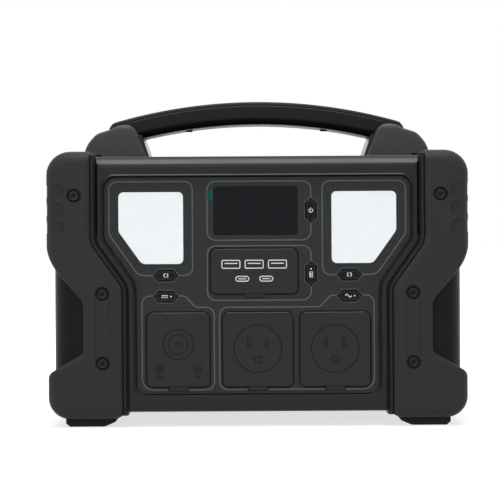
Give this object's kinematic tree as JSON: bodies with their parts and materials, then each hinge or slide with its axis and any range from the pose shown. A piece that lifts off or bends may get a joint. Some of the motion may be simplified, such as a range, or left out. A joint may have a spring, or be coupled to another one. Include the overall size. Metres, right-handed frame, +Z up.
{
  "type": "portable power station",
  "caption": "Portable power station with rubber side guards, an arched carry handle, two lamps, a display, sprung buttons and hinged covers over its outlets.",
  "frame": {"origin": "on the ground under the feet, at the middle of the footprint", "axes": "+X to the right seen from the front, +Y to the rear, +Z up; the front panel faces -Y"},
  "size_m": [0.3, 0.19, 0.2363],
  "materials": {
    "housing": "fine textured",
    "panel": "sparkle textured",
    "side_covers": "satin",
    "guards": "soft matt",
    "feet": "matt",
    "seals": "matt",
    "covers": "soft matt",
    "handle": "satin",
    "handle_cap": "soft matt",
    "buttons": "satin",
    "lenses": "frosted white",
    "trays": "white",
    "lamp_boards": "white mask",
    "window": "polished",
    "boards": "green mask",
    "port_blocks": "satin",
    "port_metal": "nickel plated",
    "fans": "satin",
    "cells": "sleeved",
    "holders": "satin",
    "power_parts": "satin",
    "heat_sink": "extruded",
    "screws": "black oxide"
  },
  "bodies": {
    "station": {"front_shell": "housing", "rear_shell": "housing", "front_panel": "panel", "panel_seal": "seals", "side_cover_left": "side_covers", "side_cover_right": "side_covers", "side_guard_left": "guards", "side_guard_right": "guards", "guard_screws": "screws", "foot_front_left": "feet", "foot_front_right": "feet", "foot_rear_left": "feet", "foot_rear_right": "feet", "foot_screws": "screws", "handle_mount_left": "handle", "handle_mount_right": "handle", "handle_grip": "handle", "handle_cap": "handle_cap", "handle_screws": "screws", "lamp_lens_left": "lenses", "lamp_lens_right": "lenses", "lamp_tray_left": "trays", "lamp_tray_right": "trays", "lamp_board_left": "lamp_boards", "lamp_board_right": "lamp_boards", "display_window": "window", "display_module": "boards", "switch_boards": "boards", "usb_module": "port_blocks", "usb_shells": "port_metal", "dc_module": "port_blocks", "vehicle_socket": "port_metal", "jack_left": "port_blocks", "jack_right": "port_blocks", "ac_outlet_left": "port_blocks", "ac_outlet_right": "port_blocks", "fan_frame_left": "fans", "fan_frame_right": "fans", "battery_cells": "cells", "cell_holder_front": "holders", "cell_holder_rear": "holders", "battery_board": "boards", "inverter_board": "boards", "inverter_parts": "power_parts", "heat_sink": "heat_sink", "housing_screws": "screws"},
    "power_button_body": {"power_button": "buttons"},
    "usb_button_body": {"usb_button": "buttons"},
    "lamp_button_left_body": {"lamp_button_left": "buttons"},
    "lamp_button_right_body": {"lamp_button_right": "buttons"},
    "dc_button_body": {"dc_button": "buttons"},
    "ac_button_body": {"ac_button": "buttons"},
    "usb_cover_body": {"usb_cover": "covers"},
    "dc_cover_body": {"dc_cover": "covers"},
    "ac_cover_left_body": {"ac_cover_left": "covers"},
    "ac_cover_right_body": {"ac_cover_right": "covers"},
    "fan_rotor_left_body": {"fan_rotor_left": "fans"},
    "fan_rotor_right_body": {"fan_rotor_right": "fans"}
  },
  "joints": [
    {"name": "power_press", "type": "slide", "parent": "station", "child": "power_button_body", "axis": [0, 1, 0], "range_m": [0, 0.0005], "stiffness_N_per_m": 800, "springref_m": -0.0005},
    {"name": "usb_press", "type": "slide", "parent": "station", "child": "usb_button_body", "axis": [0, 1, 0], "range_m": [0, 0.0005], "stiffness_N_per_m": 800, "springref_m": -0.0005},
    {"name": "lamp_press_left", "type": "slide", "parent": "station", "child": "lamp_button_left_body", "axis": [0, 1, 0], "range_m": [0, 0.0005], "stiffness_N_per_m": 800, "springref_m": -0.0005},
    {"name": "lamp_press_right", "type": "slide", "parent": "station", "child": "lamp_button_right_body", "axis": [0, 1, 0], "range_m": [0, 0.0005], "stiffness_N_per_m": 800, "springref_m": -0.0005},
    {"name": "dc_press", "type": "slide", "parent": "station", "child": "dc_button_body", "axis": [0, 1, 0], "range_m": [0, 0.0005], "stiffness_N_per_m": 800, "springref_m": -0.0005},
    {"name": "ac_press", "type": "slide", "parent": "station", "child": "ac_button_body", "axis": [0, 1, 0], "range_m": [0, 0.0005], "stiffness_N_per_m": 800, "springref_m": -0.0005},
    {"name": "usb_cover_hinge", "type": "hinge", "parent": "station", "child": "usb_cover_body", "pos_m": [-0.0024, -0.0889, 0.0925], "axis": [1, 0, 0], "range_deg": [0, 115]},
    {"name": "dc_cover_hinge", "type": "hinge", "parent": "station", "child": "dc_cover_body", "pos_m": [-0.0566, -0.0889, 0.0265], "axis": [1, 0, 0], "range_deg": [0, 115]},
    {"name": "ac_cover_hinge_left", "type": "hinge", "parent": "station", "child": "ac_cover_left_body", "pos_m": [0, -0.0889, 0.0265], "axis": [1, 0, 0], "range_deg": [0, 115]},
    {"name": "ac_cover_hinge_right", "type": "hinge", "parent": "station", "child": "ac_cover_right_body", "pos_m": [0.0549, -0.0889, 0.0265], "axis": [1, 0, 0], "range_deg": [0, 115]},
    {"name": "fan_spin_left", "type": "hinge", "parent": "station", "child": "fan_rotor_left_body", "pos_m": [-0.1349, 0, 0.0728], "axis": [1, 0, 0], "continuous": true},
    {"name": "fan_spin_right", "type": "hinge", "parent": "station", "child": "fan_rotor_right_body", "pos_m": [0.1349, 0, 0.0728], "axis": [1, 0, 0], "continuous": true}
  ]
}
